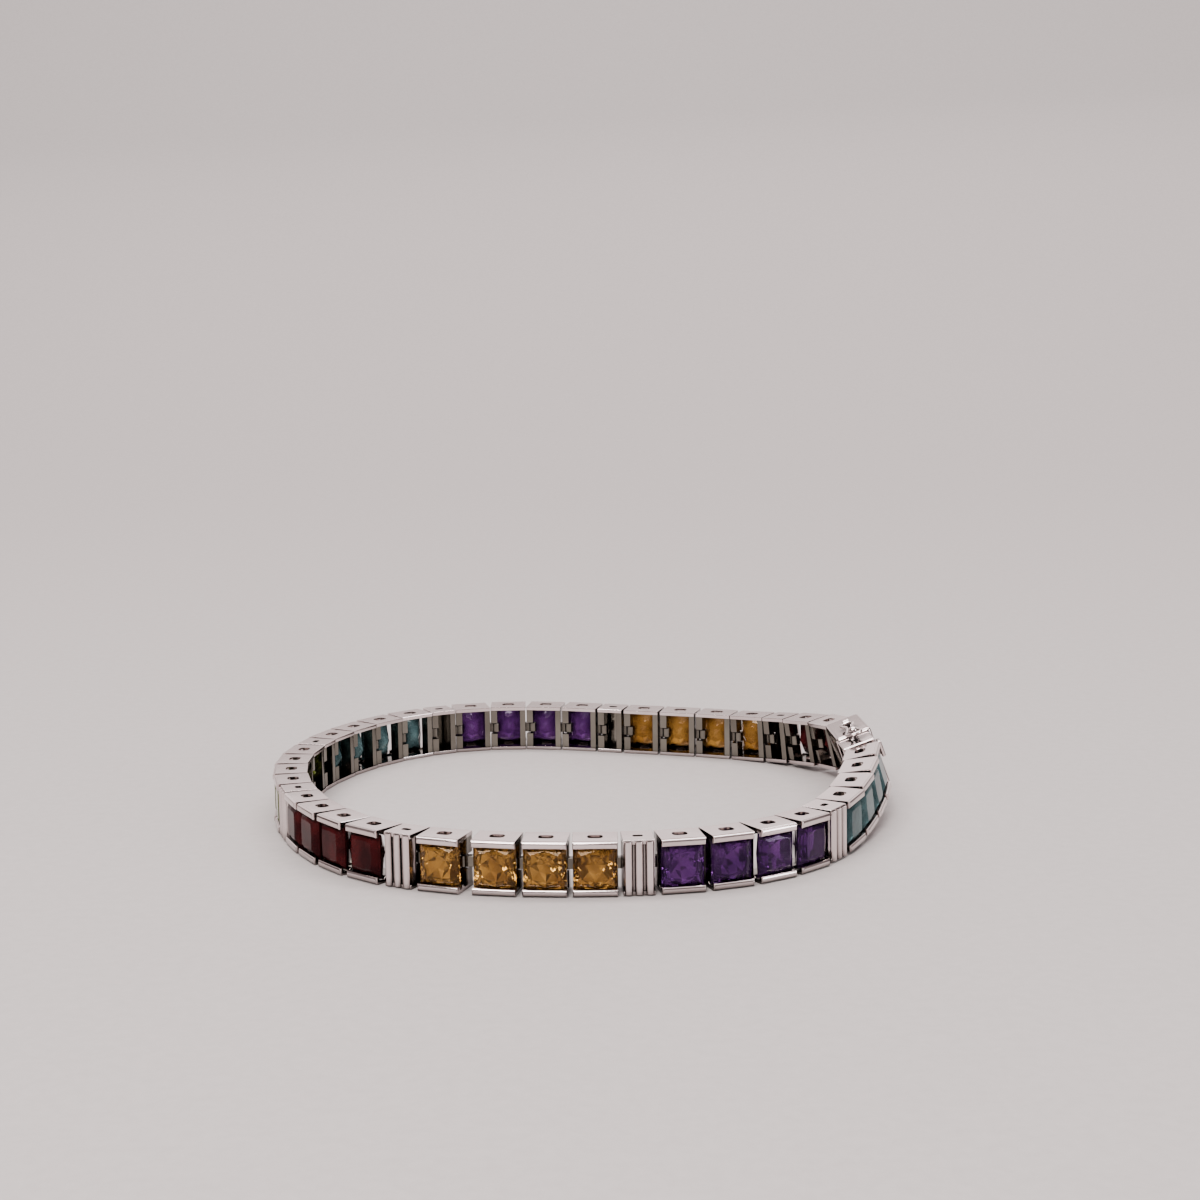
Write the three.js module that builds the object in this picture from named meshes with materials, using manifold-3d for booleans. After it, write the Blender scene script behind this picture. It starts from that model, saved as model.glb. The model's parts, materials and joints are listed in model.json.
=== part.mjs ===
// A tennis bracelet standing on its edge: 34 square stones in channel links, 8 ribbed spacer links, a box clasp
// with a figure-eight safety catch. Millimetres, +Z up, the loop lies round the Z axis.
import * as THREE from 'three';
import Module from 'manifold-3d';

const wasm = await Module();
wasm.setup();
const { Manifold, CrossSection } = wasm;

// Driving sizes
const TAU = 2 * Math.PI;
const DEGREE = Math.PI / 180;
const HEIGHT = 4.95;              // the band from its lower face to its upper face
const HALF = HEIGHT / 2;
const INNER = -1.0;               // inner face of the band, measured outwards from the hinge line
const OUTER = 2.4;                // crest of the rails
const WALL = 0.4;                 // top and bottom walls of a link
const LIP = 0.7;                  // how far a rail reaches in from the band's edge
const RAIL = 0.32;                // radius of the rounded rail, across the band
const RAIL_TALL = 0.35;
const RAIL_FROM = -54 * DEGREE;   // where its round starts and ends
const RAIL_TO = 90 * DEGREE;
const RAIL_STEPS = 3;
const POST = 0.74;                // upright post round the pin, along the band
const FAR_POST = 0.62;            // the post that carries the eye
const POST_OUT = 0.36;            // outer side of the posts
const REAR = 0.5;                 // from a link's own pin back to its end face
const PLAY = 0.28;                // between two links' end faces on the hinge line
const STONE_PITCH = 4.2;
const SPACER_PITCH = 3.06;
const SINK = 0.1;                 // how far soldered pieces run into each other
const HOLE = 0.72;                // gallery hole in the walls, along the band
const HOLE_DEEP = 0.62;
const HOLE_AT = 0.62;             // its middle, out from the hinge line
const SMALL_HOLE = 0.7;           // a spacer's hole as a share of a stone link's
const SMALL_HOLE_DEEP = 0.55;
const RAIL_UNDER = 0.28;          // from the girdle to the underside of the rail
const SEAT_BACK = 0.38;           // the seat that carries the stone starts this far behind the girdle
const SEAT_SLOPE = 0.35;
const SEAT_EDGE = 0.05;
const SEAT_LEDGE = 0.2;

// Hinges between links
const PIN = 0.2;                  // radius of a hinge pin
const EYE_HOLE = 0.31;
const EYE = 0.5;                  // outer radius of the eye
const EYE_TALL = 1.0;
const EYE_WIDE = 0.7;             // the bar that carries the eye, across the band
const EYE_ROOM = 0.13;            // free space round the eye
const SLOT_TALL = EYE_TALL + 2 * EYE_ROOM;
const SLOT_DEEP = EYE + EYE_ROOM;

// Stones
const STONE_GAP = 0.11;           // clear of the walls
const STONE_INSET = 0.07;         // back from the link's end faces
const GIRDLE = 1.58;
const GIRDLE_TALL = 0.14;
const PAVILION = 2.08;
const CROWN = 0.54;

// The ribbed spacer
const RIDGES = 3;
const PLATE = 1.15;               // back of the ribbed plate
const RIDGE_FOOT = 1.92;
const SQUARE_END = 0.2;           // the plate's ends stay square up to here under the ridges
const RIDGE = 0.42;
const GROOVE = 0.03;              // half the flat between two ridges

// The clasp
const BOX_PITCH = 8.0;
const END_PITCH = 4.0;
const CLASP_REAR = 0.3;           // the box starts this far behind its pin
const CLASP_PLAY = 0.65;          // the straight clasp turns more at its ends, so it has more play
const BOX_RISE = 0.3;             // the box stands above and below the links by this much
const BOX_OUT = 2.75;
const BOX_BEVEL = 0.5;
const GATE = 2.2;                 // the notch for the thumb tab, along the box
const GATE_DEEP = 1.5;
const SHELL = 0.45;
const CATCH_AT = 4.5;             // hinge of the safety catch along the box
const CATCH_REACH = 4.5;          // from that hinge to the ball knob
const CATCH_UP = 0.45;            // hinge line above the box
const CATCH_LINE = 0.8;           // across the band
const CATCH_HALF = 0.62;          // half the width of the bar that is the hinge
const WAIST = 0.3;
const WIRE = 0.17;
const BORE = WIRE + 0.12;
const LUG = 0.5;
const LUG_THICK = 0.6;
const BALL = 0.45;
const CATCH_LOOP = BALL + WIRE + 0.16;
const BALL_UP = 0.2;              // the ball stands above the wire by this much
const STEM = 0.2;
const TONGUE = 5;
const TONGUE_THICK = 0.3;
const TONGUE_HALF = HALF - 1;
const LEAF_BACK = 0.6;            // the sprung leaf is shorter than the tongue
const LEAF_SPRUNG = 11;           // degrees
const THUMB = 0.4;                // a quarter of the notch's width
const STALK = 1.75;               // back from the end piece
const STALK_THICK = 0.4;
const STALK_FOOT = 0.75;
const PAD = 2.2;
const PAD_LONG = 1.3;
const PAD_GAP = 0.2;              // the thumb pad stands off the box
const PAD_THICK = 0.4;

// How it lies in the photo: a loose round, rising and leaning in at the clasp
const WAVES = [
  // waves round the loop, cosine and sine shares of the radius
  [2, 0.0114, -0.0254],
  [3, 0.0220, 0.0210],
  [4, -0.0208, 0.0193],
  [5, -0.0088, 0.0075],
  [6, 0.0042, -0.0021],
];
const START = -4 * DEGREE;        // where the first stone's pin stands, beside the clasp
const LEAN = 20 * DEGREE;
const LIFT = 1.65;
const LEAN_MIDDLE = 4.7 * DEGREE;
const LEAN_SPAN = 44 * DEGREE;
const LIFT_SPAN = 49.5 * DEGREE;
const PULLED_OPEN = 0.5;          // two citrines at the front stand this much further apart
const PULLED_RUN = 2;
const PULLED_LINK = 2;

const RUNS = [
  ['topaz', 4], ['amethyst', 4], ['citrine', 4], ['garnet', 4], ['peridot', 4],
  ['topaz', 4], ['amethyst', 4], ['citrine', 4], ['garnet', 2],
];

// Materials
const metal = () => new THREE.MeshStandardMaterial({ color: 0xd9d3cf, metalness: 1, roughness: 0.22 });
const GEM = { garnet: 0x5a1218, citrine: 0xb5701e, amethyst: 0x4b2a70, topaz: 0x6fa3ad, peridot: 0x7f9a3a };
const gem = (name) => new THREE.MeshStandardMaterial({ color: GEM[name], metalness: 0, roughness: 0.05 });

// Solids in a link's own frame: x along the band from its pin, y outwards, z up from mid height
function box(x0, x1, y0, y1, z0, z1) {
  return Manifold.cube([x1 - x0, y1 - y0, z1 - z0]).translate([x0, y0, z0]);
}

function alongX(points, x0, x1) {
  // an outline in (y, z) drawn along x
  const solid = Manifold.extrude(new CrossSection([points]), x1 - x0);
  return solid.transform([0, 1, 0, 0, 0, 0, 1, 0, 1, 0, 0, 0, x0, 0, 0, 1]);
}

function upright(points, z0, z1) {
  return Manifold.extrude(new CrossSection([points]), z1 - z0).translate([0, 0, z0]);
}

function post(x, y, radius, z0, z1, sides = 10) {
  return Manifold.cylinder(z1 - z0, radius, radius, sides).translate([x, y, z0]);
}

function wallOutline() {
  // one wall with its rail and the seat under the girdle, upper one, counter-clockwise in (y, z)
  const inside = HALF - WALL;
  const under = GIRDLE + GIRDLE_TALL + RAIL_UNDER;
  const seat = GIRDLE - SEAT_BACK;
  const points = [[INNER, HALF], [INNER, inside]];
  points.push([seat - SEAT_SLOPE, inside], [seat, HALF - LIP + SEAT_EDGE], [seat + SEAT_LEDGE, inside]);
  points.push([under, inside], [under, HALF - LIP]);
  for (let i = 0; i <= RAIL_STEPS; i += 1) {
    const a = RAIL_FROM + i * (RAIL_TO - RAIL_FROM) / RAIL_STEPS;
    points.push([OUTER - RAIL + RAIL * Math.cos(a), HALF - RAIL_TALL + RAIL_TALL * Math.sin(a)]);
  }
  return points;
}

function mirrored(points) {
  return points.map(([y, z]) => [y, -z]).reverse();
}

function galleryHole(x, wide, deep) {
  const points = [];
  for (let i = 0; i < 6; i += 1) {
    const a = i * TAU / 6;
    points.push([x + wide * Math.cos(a), HOLE_AT + deep * Math.sin(a)]);
  }
  return upright(points, -HALF - 1, HALF + 1);
}

function hingeEye(pitch, end, fused) {
  // the bar at the far end of a link, with its eye round the next link's pin
  const from = end - FAR_POST / 2;
  const bar = box(from, pitch, -EYE_WIDE / 2, EYE_WIDE / 2, -EYE_TALL / 2, EYE_TALL / 2);
  const solid = bar.add(post(pitch, 0, EYE, -EYE_TALL / 2, EYE_TALL / 2, 8));
  return fused ? solid : solid.subtract(post(pitch, 0, EYE_HOLE, -1, 1, 10));
}

function hingeSlot(from) {
  return box(from - 1, SLOT_DEEP, INNER - 1, POST_OUT + SINK, -SLOT_TALL / 2, SLOT_TALL / 2);
}

function linkPosts(end) {
  // both reach a little into the walls
  const z1 = HALF - WALL + SINK;
  const z0 = -z1;
  const near = box(-REAR, POST - REAR, INNER, POST_OUT, z0, z1).subtract(hingeSlot(-REAR));
  const far = box(end - FAR_POST, end, INNER, POST_OUT, z0, z1);
  return near.add(far).add(post(0, 0, PIN, z0, z1, 6));
}

function stoneLink(pitch, fused) {
  const end = STONE_PITCH - REAR - PLAY;
  const walls = alongX(wallOutline(), -REAR, end).add(alongX(mirrored(wallOutline()), -REAR, end));
  const holed = walls.subtract(galleryHole((end - REAR) / 2, HOLE, HOLE_DEEP));
  return holed.add(linkPosts(end)).add(hingeEye(pitch, end, fused));
}

function spacerOutline(end) {
  // rounded ridges across the front of the plate
  const square = RIDGE_FOOT - SQUARE_END;
  const points = [[-REAR, PLATE], [end, PLATE], [end, square]];
  const wide = (end + REAR) / RIDGES;
  for (let ridge = RIDGES - 1; ridge >= 0; ridge -= 1) {
    const middle = -REAR + wide * (ridge + 0.5);
    for (let i = 0; i <= 4; i += 1) {
      const a = i * Math.PI / 4;
      points.push([middle + (wide / 2 - GROOVE) * Math.cos(a), RIDGE_FOOT + RIDGE * Math.sin(a)]);
    }
  }
  points.push([-REAR, square]);
  return points;
}

function spacerLink() {
  const end = SPACER_PITCH - REAR - PLAY;
  const plate = upright(spacerOutline(end), -HALF, HALF);
  const upper = box(-REAR, end, INNER, PLATE + SINK, HALF - WALL, HALF);
  const lower = box(-REAR, end, INNER, PLATE + SINK, -HALF, -HALF + WALL);
  const hole = galleryHole((end - REAR) / 2, HOLE * SMALL_HOLE, HOLE_DEEP * SMALL_HOLE_DEEP);
  const walls = upper.add(lower).subtract(hole);
  return plate.add(walls).add(linkPosts(end)).add(hingeEye(SPACER_PITCH, end, false));
}

// Stones: squares of one centre joined by facets, from the culet outwards
function stone() {
  const half = [(STONE_PITCH - PLAY) / 2 - STONE_INSET, HALF - WALL - STONE_GAP];
  const steps = [
    // share of the half width, distance out from the hinge line
    [0.04, GIRDLE - PAVILION],
    [0.76, GIRDLE - PAVILION * 0.29],
    [1, GIRDLE],
    [1, GIRDLE + GIRDLE_TALL],
    [0.84, GIRDLE + GIRDLE_TALL + CROWN * 0.48],
    [0.62, GIRDLE + GIRDLE_TALL + CROWN],
  ];
  const middle = (STONE_PITCH - 2 * REAR - PLAY) / 2;
  const points = [];
  for (const [size, y] of steps) {
    const x = size * half[0];
    const z = size * half[1];
    points.push([middle - x, y, -z], [middle + x, y, -z], [middle + x, y, z], [middle - x, y, z]);
  }
  return Manifold.hull(points);
}

// The clasp, all in the frame of the box, whose own pin is at x = 0
function bevelledOutline(out, rise, bevel) {
  const outline = [[INNER, -rise], [out - bevel, -rise], [out, -rise + bevel], [out, rise - bevel]];
  return outline.concat([[out - bevel, rise], [INNER, rise]]);
}

function claspBox() {
  const end = BOX_PITCH - REAR - PLAY;
  const rise = HALF + BOX_RISE;
  const outside = alongX(bevelledOutline(BOX_OUT, rise, BOX_BEVEL), -CLASP_REAR, end);
  const inside = rise - SHELL;
  const hollow = box(SLOT_DEEP + SHELL, end + 1, INNER + SHELL, BOX_OUT - SHELL, -inside, inside);
  const slot = hingeSlot(-CLASP_REAR);
  const gate = box(end - GATE, end + 1, BOX_OUT - GATE_DEEP, BOX_OUT + 1, -2 * THUMB, 2 * THUMB);
  const body = outside.subtract(hollow).subtract(slot).subtract(gate);
  return body.add(post(0, 0, PIN, -rise + SHELL / 2, rise - SHELL / 2, 8)).add(catchLug(rise));
}

function catchLug(rise) {
  // an upright plate on the top of the box, bored across the band for the wire of the catch
  const near = CATCH_LINE - LUG_THICK / 2;
  const axis = rise + CATCH_UP;
  const plate = box(CATCH_AT - LUG, CATCH_AT + LUG, near, near + LUG_THICK, rise - SINK, axis);
  const round = Manifold.cylinder(LUG_THICK, LUG, LUG, 16).rotate([90, 0, 0]);
  const bore = Manifold.cylinder(2 * LUG_THICK, BORE, BORE, 12).rotate([90, 0, 0]);
  const rounded = plate.add(round.translate([CATCH_AT, near + LUG_THICK, axis]));
  return rounded.subtract(bore.translate([CATCH_AT, near + 1.5 * LUG_THICK, axis]));
}

function claspEnd() {
  // the end piece with its tongue in the box, the thumb tab and the ball knob
  const start = BOX_PITCH - REAR;
  const pitch = BOX_PITCH + END_PITCH;
  const end = pitch - REAR - CLASP_PLAY;
  const block = alongX(bevelledOutline(OUTER, HALF, RAIL), start, end);
  const open = box(start + POST, end - POST, INNER - 1, PLATE, -HALF + WALL, HALF - WALL);
  const low = -TONGUE_THICK / 2;
  const tongue = box(start - TONGUE, start + SINK, low, -low, -TONGUE_HALF, TONGUE_HALF);
  const strip = box(0, TONGUE - LEAF_BACK, 0, TONGUE_THICK, -TONGUE_HALF, TONGUE_HALF);
  const leaf = strip.rotate([0, 0, LEAF_SPRUNG]).translate([start - TONGUE, -SINK, 0]);
  const stalkFrom = start - STALK;
  const stalkTop = BOX_OUT + PAD_GAP + SINK;
  const stalk = box(stalkFrom, stalkFrom + STALK_THICK, STALK_FOOT, stalkTop, -1.5 * THUMB, 1.5 * THUMB);
  const padFrom = start - PAD;
  const padLow = BOX_OUT + PAD_GAP;
  const pad = box(padFrom, padFrom + PAD_LONG, padLow, padLow + PAD_THICK, -2.2 * THUMB, 2.2 * THUMB);
  const knob = CATCH_AT + CATCH_REACH;
  const ballAt = HALF + BOX_RISE + CATCH_UP + BALL_UP;
  const stem = post(knob, CATCH_LINE, STEM, HALF - SINK, ballAt, 8);
  const ball = Manifold.sphere(BALL, 14).translate([knob, CATCH_LINE, ballAt]);
  const tongued = block.subtract(open).add(tongue).add(leaf).add(stalk).add(pad);
  return tongued.add(stem).add(ball).add(hingeEye(pitch, end, false));
}

function catchPath() {
  // a wire bent like a figure of eight: the straight bar in the lug, a waist, and the loop round the knob
  const side = [
    // share of the reach, distance from the middle line
    [0, CATCH_HALF],
    [0.17, CATCH_HALF],
    [0.36, WAIST],
    [0.55, WAIST],
    [0.76, (WAIST + CATCH_LOOP) / 2],
  ];
  const points = side.map(([along, y]) => [along * CATCH_REACH, y]);
  for (let i = 0; i <= 6; i += 1) {
    const a = (110 - i * 220 / 6) * DEGREE;
    points.push([CATCH_REACH + CATCH_LOOP * Math.cos(a), CATCH_LOOP * Math.sin(a)]);
  }
  for (const [along, y] of side.slice().reverse()) {
    points.push([along * CATCH_REACH, -y]);
  }
  return points;
}

function safetyCatch() {
  const up = HALF + BOX_RISE + CATCH_UP;
  const bead = Manifold.sphere(WIRE, 8);
  const path = catchPath();
  const bends = path.map(([x, y], i) => {
    const [nextX, nextY] = path[(i + 1) % path.length];
    return Manifold.hull([bead.translate([x, y, 0]), bead.translate([nextX, nextY, 0])]);
  });
  return Manifold.union(bends).translate([CATCH_AT, CATCH_LINE, up]);
}

// The loop: pins stand on a closed curve, each as far from the last as its link is long
function swell(angle, span) {
  const away = Math.atan2(Math.sin(angle - LEAN_MIDDLE), Math.cos(angle - LEAN_MIDDLE)) / span;
  return Math.abs(away) < 1 ? Math.cos(away * Math.PI / 2) ** 2 : 0;
}

function onLoop(angle, radius) {
  let r = radius;
  for (const [count, cosine, sine] of WAVES) {
    r += radius * (cosine * Math.cos(count * angle) + sine * Math.sin(count * angle));
  }
  return new THREE.Vector3(r * Math.cos(angle), r * Math.sin(angle), HALF + LIFT * swell(angle, LIFT_SPAN));
}

function walk(pitches, radius) {
  const angles = [START];
  for (const pitch of pitches) {
    const from = angles[angles.length - 1];
    const here = onLoop(from, radius);
    let low = 0;
    let high = 1;
    for (let i = 0; i < 50; i += 1) {
      const middle = (low + high) / 2;
      if (onLoop(from - middle, radius).distanceTo(here) < pitch) {
        low = middle;
      } else {
        high = middle;
      }
    }
    angles.push(from - low);
  }
  return angles;
}

function closeLoop(pitches) {
  let small = 20;
  let large = 40;
  for (let i = 0; i < 50; i += 1) {
    const radius = (small + large) / 2;
    const turned = START - walk(pitches, radius)[pitches.length];
    if (turned > TAU) {
      small = radius;
    } else {
      large = radius;
    }
  }
  return { radius: small, angles: walk(pitches, small) };
}

function frameBetween(from, to, lean) {
  const x = to.clone().sub(from).normalize();
  const y = new THREE.Vector3(0, 0, 1).cross(x).normalize();
  const z = x.clone().cross(y);
  const out = y.clone().multiplyScalar(Math.cos(lean)).addScaledVector(z, Math.sin(lean));
  const up = z.clone().multiplyScalar(Math.cos(lean)).addScaledVector(y, -Math.sin(lean));
  return new THREE.Matrix4().makeBasis(x, out, up).setPosition(from);
}

// Every link in order: the runs of stones, a spacer after each but the last, then the clasp
const links = [];
RUNS.forEach(([name, count], run) => {
  for (let i = 0; i < count; i += 1) {
    const extra = run === PULLED_RUN && i === PULLED_LINK ? PULLED_OPEN : 0;
    links.push({ kind: 'stone', run, place: i, last: i === count - 1, pitch: STONE_PITCH + extra, colour: name });
  }
  if (run < RUNS.length - 1) {
    links.push({ kind: 'spacer', run, pitch: SPACER_PITCH });
  }
});
links.push({ kind: 'clasp', pitch: BOX_PITCH + END_PITCH });

const loop = closeLoop(links.map((link) => link.pitch));
links.forEach((link, i) => {
  const from = onLoop(loop.angles[i], loop.radius);
  const to = onLoop(loop.angles[(i + 1) % links.length], loop.radius);
  const lean = LEAN * swell((loop.angles[i] + loop.angles[i + 1]) / 2, LEAN_SPAN);
  link.frame = frameBetween(from, to, lean);
});

// Meshes
function toMesh(name, solid, material) {
  const source = solid.getMesh();
  const geometry = new THREE.BufferGeometry();
  const stride = source.numProp;
  const positions = [];
  for (const index of source.triVerts) {
    const at = index * stride;
    positions.push(source.vertProperties[at], source.vertProperties[at + 1], source.vertProperties[at + 2]);
  }
  geometry.setAttribute('position', new THREE.Float32BufferAttribute(positions, 3));
  geometry.computeVertexNormals();
  const mesh = new THREE.Mesh(geometry, material);
  mesh.name = name;
  return mesh;
}

function placed(solid, link) {
  return solid.transform(link.frame.elements);
}

const pieces = [];
const runSolids = RUNS.map(() => []);
const spacer = spacerLink();
const stoneSolid = stone();
const seen = {};
let spacerCount = 0;
for (const link of links) {
  if (link.kind === 'stone') {
    runSolids[link.run].push(placed(stoneLink(link.pitch, !link.last), link));
    seen[link.colour] = (seen[link.colour] || 0) + 1;
    const name = `${link.colour}_${String(seen[link.colour]).padStart(2, '0')}`;
    pieces.push([name, placed(stoneSolid, link), gem(link.colour)]);
  } else if (link.kind === 'spacer') {
    spacerCount += 1;
    pieces.push([`ribbed_spacer_${spacerCount}`, placed(spacer, link), metal()]);
  } else {
    pieces.push(['clasp_box', placed(claspBox(), link), metal()]);
    pieces.push(['clasp_tongue_end', placed(claspEnd(), link), metal()]);
    pieces.push(['safety_catch', placed(safetyCatch(), link), metal()]);
  }
}
runSolids.forEach((solids, run) => {
  pieces.push([`setting_run_${run + 1}_${RUNS[run][0]}`, Manifold.union(solids), metal()]);
});

// Centred over the origin
const reach = new THREE.Box3();
for (const [, solid] of pieces) {
  const { min, max } = solid.boundingBox();
  reach.expandByPoint(new THREE.Vector3(...min));
  reach.expandByPoint(new THREE.Vector3(...max));
}
const centre = reach.getCenter(new THREE.Vector3());

const bracelet = new THREE.Group();
bracelet.name = 'tennis_bracelet';
for (const [name, solid, material] of pieces) {
  bracelet.add(toMesh(name, solid.translate([-centre.x, -centre.y, 0]), material));
}

export default bracelet;
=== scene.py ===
# %% [markdown]
# # A tennis bracelet, dressed for its photograph
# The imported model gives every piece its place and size. This lesson replaces the plain solids with
# finished ones: polished links with rounded rails, cut stones, ribbed spacers and a box clasp with its
# safety catch. Everything is modelled on a bench in millimetres, in a link's own frame, and then set into
# the loop in metres.

# %% Load the frame
import json
import math
import bpy
from mathutils import Matrix, Vector


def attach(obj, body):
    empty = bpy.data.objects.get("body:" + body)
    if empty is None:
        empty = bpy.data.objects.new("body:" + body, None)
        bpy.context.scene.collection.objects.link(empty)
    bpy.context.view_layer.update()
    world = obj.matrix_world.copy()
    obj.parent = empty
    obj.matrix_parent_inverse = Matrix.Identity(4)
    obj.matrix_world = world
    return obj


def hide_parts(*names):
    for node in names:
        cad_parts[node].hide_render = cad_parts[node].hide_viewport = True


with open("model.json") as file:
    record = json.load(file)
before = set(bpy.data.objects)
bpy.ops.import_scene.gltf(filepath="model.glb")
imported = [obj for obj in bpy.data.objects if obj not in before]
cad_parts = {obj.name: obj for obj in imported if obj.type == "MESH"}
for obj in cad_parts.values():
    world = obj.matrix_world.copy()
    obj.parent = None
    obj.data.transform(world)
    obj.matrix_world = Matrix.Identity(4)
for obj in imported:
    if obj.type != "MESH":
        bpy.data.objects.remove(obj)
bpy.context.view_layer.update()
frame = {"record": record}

RECORD = frame["record"]
BODY = "bracelet"
CATCH_BODY = "safety_catch"
MM = 0.001
DEGREE = math.pi / 180

# %% [markdown]
# ## Bench helpers
# Operators act on whatever is selected, so each helper first deselects everything. Solids are joined and
# cut with the Boolean modifier, applied at once. Each part has its edges softened by a Bevel before it is
# soldered on, because a real polished edge is never sharp and its small round is what catches the light,
# while the seam between two soldered parts stays crisp. Weighted normals keep the broad faces flat to the
# eye, so that only the rounds shade off.

# %% Selecting
def clear_bench():
    """Leaves object mode with nothing selected."""
    if bpy.context.object and bpy.context.object.mode != "OBJECT":
        bpy.ops.object.mode_set(mode="OBJECT")
    bpy.ops.object.select_all(action="DESELECT")


def only(obj):
    """Selects one object and makes it the active one."""
    clear_bench()
    obj.select_set(True)
    bpy.context.view_layer.objects.active = obj
    return obj


def pick_edges(obj, wanted):
    """Enters edit mode with just those edges selected whose two ends pass a test."""
    only(obj)
    bpy.ops.object.mode_set(mode="EDIT")
    bpy.ops.mesh.select_mode(type="EDGE")
    bpy.ops.mesh.select_all(action="DESELECT")
    bpy.ops.object.mode_set(mode="OBJECT")
    for edge in obj.data.edges:
        edge.select = wanted(*(obj.data.vertices[i].co for i in edge.vertices))
    bpy.ops.object.mode_set(mode="EDIT")


# %% Blocks, rods and drawn outlines
def block(low, high, soft=0.0, steps=3):
    """A box between two corners, with its edges rounded when soft is given."""
    clear_bench()
    middle = [(a + b) / 2 for a, b in zip(low, high)]
    bpy.ops.mesh.primitive_cube_add(size=1, location=middle)
    made = bpy.context.object
    made.scale = [b - a for a, b in zip(low, high)]
    bpy.ops.object.transform_apply(location=True, rotation=True, scale=True)
    if soft:
        bpy.ops.object.mode_set(mode="EDIT")
        bpy.ops.mesh.select_all(action="SELECT")
        bpy.ops.mesh.bevel(offset=soft, segments=steps, affect="EDGES")
        bpy.ops.object.mode_set(mode="OBJECT")
    return made


def rod(start, end, radius, sides=20):
    """A round bar between two points."""
    clear_bench()
    along = Vector(end) - Vector(start)
    middle = (Vector(start) + Vector(end)) / 2
    bpy.ops.mesh.primitive_cylinder_add(vertices=sides, radius=radius, depth=along.length, location=middle)
    made = bpy.context.object
    made.rotation_euler = along.to_track_quat("Z", "Y").to_euler()
    bpy.ops.object.transform_apply(location=True, rotation=True, scale=True)
    return made


def drawn(points, along):
    """An outline, given as 3D points, filled and drawn along a vector into a solid."""
    clear_bench()
    bpy.ops.mesh.primitive_circle_add(vertices=len(points), radius=1, fill_type="NGON")
    made = bpy.context.object
    for vertex, point in zip(made.data.vertices, points):
        vertex.co = point
    bpy.ops.object.mode_set(mode="EDIT")
    bpy.ops.mesh.select_all(action="SELECT")
    bpy.ops.mesh.extrude_region_move(TRANSFORM_OT_translate={"value": along})
    bpy.ops.mesh.select_all(action="SELECT")
    bpy.ops.mesh.normals_make_consistent(inside=False)
    bpy.ops.object.mode_set(mode="OBJECT")
    return made


# %% Joining and cutting
PAST = 1.0  # a cutter reaches this far past what it cuts


def combine(target, tool, operation):
    """Joins a tool to the target, or cuts it out, and takes the tool off the bench."""
    only(target)
    modifier = target.modifiers.new("solder", "BOOLEAN")
    modifier.operation = operation
    modifier.solver = "EXACT"
    modifier.object = tool
    bpy.ops.object.modifier_apply(modifier=modifier.name)
    bpy.data.objects.remove(tool, do_unlink=True)
    return target


def solder(target, *tools):
    for tool in tools:
        combine(target, tool, "UNION")
    return target


def cut(target, *tools):
    for tool in tools:
        combine(target, tool, "DIFFERENCE")
    return target


# %% Soft edges and polish
SOFT = 0.05
SHARP = 40 * DEGREE


def soften(obj):
    """Rounds every edge that turns by more than the sharp angle."""
    only(obj)
    modifier = obj.modifiers.new("soft edges", "BEVEL")
    modifier.width = SOFT
    modifier.segments = 2
    modifier.limit_method = "ANGLE"
    modifier.angle_limit = SHARP
    bpy.ops.object.modifier_apply(modifier=modifier.name)
    return obj


def polish(obj):
    """Shades rounds as smooth and keeps what is flat looking flat."""
    only(obj)
    bpy.ops.object.shade_smooth_by_angle(angle=SHARP)
    modifier = obj.modifiers.new("flat stays flat", "WEIGHTED_NORMAL")
    modifier.keep_sharp = True
    bpy.ops.object.modifier_apply(modifier=modifier.name)
    return obj


# %% Points on an arc
def arc(centre, radius, start, end, steps):
    """Points on an arc, angles in degrees. The radius is a number, or a pair for the two axes."""
    wide, tall = radius if isinstance(radius, tuple) else (radius, radius)
    angles = [(start + (end - start) * i / steps) * DEGREE for i in range(steps + 1)]
    return [(centre[0] + wide * math.cos(a), centre[1] + tall * math.sin(a)) for a in angles]


# %% [markdown]
# ## The loop
# A chain bends only at its pins, so its shape is a list of pins on a closed curve, each one link from the
# last. The curve is a circle with a few gentle waves, read from the photograph, and near the clasp the
# band rises a little and leans inwards. Each link's frame has its origin on its own pin, x along the
# band, y outwards, z up.

# %% Sizes of the band, in millimetres
HEIGHT = 4.95
HALF = HEIGHT / 2
INNER = -1.0
OUTER = 2.4
WALL = 0.4
LIP = 0.7
POST = 0.74
FAR_POST = 0.62
POST_OUT = 0.36
REAR = 0.5
PLAY = 0.28
STONE_PITCH = 4.2
SPACER_PITCH = 3.06
BOX_PITCH = 8.0
END_PITCH = 4.0
LINK_END = STONE_PITCH - REAR - PLAY
SPACER_END = SPACER_PITCH - REAR - PLAY

# %% The order of the links
RUNS = [
    ("topaz", 4), ("amethyst", 4), ("citrine", 4), ("garnet", 4), ("peridot", 4),
    ("topaz", 4), ("amethyst", 4), ("citrine", 4), ("garnet", 2),
]
PULLED_OPEN = 0.5  # the one wide gap, after the third citrine link
PULLED_RUN = 2
PULLED_LINK = 2
WAVES = [
    # waves round the loop, cosine share, sine share
    (2, 0.0114, -0.0254), (3, 0.0220, 0.0210), (4, -0.0208, 0.0193),
    (5, -0.0088, 0.0075), (6, 0.0042, -0.0021),
]
START = -4 * DEGREE
LEAN = 20 * DEGREE
LIFT = 1.65
LEAN_MIDDLE = 4.7 * DEGREE
LEAN_SPAN = 44 * DEGREE
LIFT_SPAN = 49.5 * DEGREE
TRIES = 12


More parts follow.
